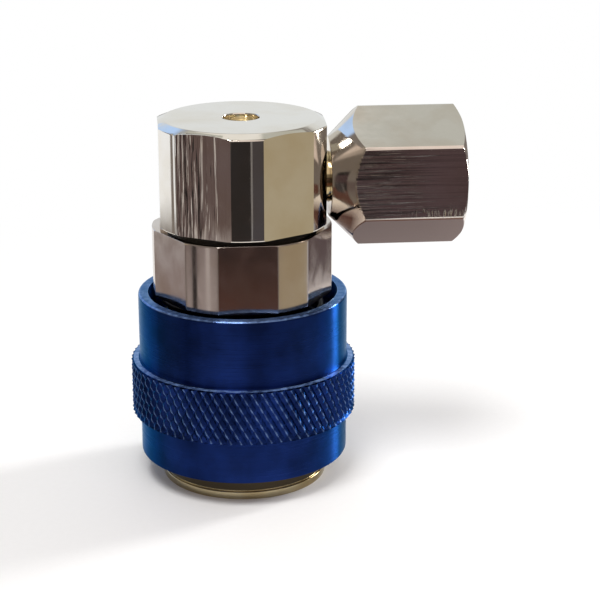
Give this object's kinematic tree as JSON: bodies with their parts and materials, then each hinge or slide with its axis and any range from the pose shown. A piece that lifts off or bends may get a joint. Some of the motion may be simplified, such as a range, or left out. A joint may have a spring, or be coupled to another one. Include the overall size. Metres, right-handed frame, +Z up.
{
  "type": "refrigerant quick coupler",
  "caption": "Ball-lock service coupler with a blue knurled sleeve, hexagon body and a swivelling head that carries a side hose nut.",
  "frame": {"origin": "centre of the socket's mouth, on the plane of the foot's lower face", "axes": "+Z up the socket towards the head, +X along the side port out of the hose nut"},
  "size_m": [0.0462, 0.0318, 0.053],
  "materials": {
    "plated_brass": "bright nickel plated",
    "bare_brass": "machined",
    "blue_aluminium": "blue anodised, machined",
    "bearing_steel": "polished",
    "spring_steel": "drawn wire",
    "seal_rubber": "moulded",
    "black_nylon": "moulded"
  },
  "bodies": {
    "socket": {"lower_socket": "plated_brass", "hex_body": "plated_brass", "port_seal": "seal_rubber", "body_seal": "seal_rubber", "lower_swivel_seal": "seal_rubber", "upper_swivel_seal": "seal_rubber", "head_retaining_ring": "spring_steel", "thrust_washer": "black_nylon", "stem_guide": "bare_brass", "sleeve_spring": "spring_steel", "valve_spring": "spring_steel"},
    "sleeve": {"locking_sleeve": "blue_aluminium"},
    "ball_a": {"ball_1": "bearing_steel"},
    "ball_b": {"ball_2": "bearing_steel"},
    "ball_c": {"ball_3": "bearing_steel"},
    "ball_d": {"ball_4": "bearing_steel"},
    "ball_e": {"ball_5": "bearing_steel"},
    "ball_f": {"ball_6": "bearing_steel"},
    "valve": {"valve_stem": "bare_brass", "valve_seal": "seal_rubber"},
    "head": {"swivel_head": "plated_brass", "side_neck": "plated_brass", "hose_gasket": "seal_rubber"},
    "nut": {"swivel_nut": "plated_brass"}
  },
  "joints": [
    {"name": "sleeve_slide", "type": "slide", "parent": "socket", "child": "sleeve", "axis": [0, 0, 1], "range_m": [0, 0.0042], "stiffness_N_per_m": 1500, "springref_m": -0.005, "deforming": ["sleeve_spring"]},
    {"name": "ball_1_slide", "type": "slide", "parent": "socket", "child": "ball_a", "axis": [1, 0, 0], "range_m": [0, 0.00101]},
    {"name": "ball_2_slide", "type": "slide", "parent": "socket", "child": "ball_b", "axis": [0.5, 0.866, 0], "range_m": [0, 0.00101]},
    {"name": "ball_3_slide", "type": "slide", "parent": "socket", "child": "ball_c", "axis": [-0.5, 0.866, 0], "range_m": [0, 0.00101]},
    {"name": "ball_4_slide", "type": "slide", "parent": "socket", "child": "ball_d", "axis": [-1, 0, 0], "range_m": [0, 0.00101]},
    {"name": "ball_5_slide", "type": "slide", "parent": "socket", "child": "ball_e", "axis": [-0.5, -0.866, 0], "range_m": [0, 0.00101]},
    {"name": "ball_6_slide", "type": "slide", "parent": "socket", "child": "ball_f", "axis": [0.5, -0.866, 0], "range_m": [0, 0.00101]},
    {"name": "valve_lift", "type": "slide", "parent": "socket", "child": "valve", "axis": [0, 0, 1], "range_m": [0, 0.0025], "stiffness_N_per_m": 300, "springref_m": -0.004, "deforming": ["valve_spring"]},
    {"name": "head_swivel", "type": "hinge", "parent": "socket", "child": "head", "pos_m": [0, 0, 0.04325], "axis": [0, 0, 1], "continuous": true},
    {"name": "nut_spin", "type": "hinge", "parent": "head", "child": "nut", "pos_m": [0.02, 0, 0.04325], "axis": [1, 0, 0], "continuous": true}
  ],
  "couplings": [
    {"joint": "ball_1_slide", "follows": "sleeve_slide", "ratio": 0.24},
    {"joint": "ball_2_slide", "follows": "sleeve_slide", "ratio": 0.24},
    {"joint": "ball_3_slide", "follows": "sleeve_slide", "ratio": 0.24},
    {"joint": "ball_4_slide", "follows": "sleeve_slide", "ratio": 0.24},
    {"joint": "ball_5_slide", "follows": "sleeve_slide", "ratio": 0.24},
    {"joint": "ball_6_slide", "follows": "sleeve_slide", "ratio": 0.24}
  ]
}
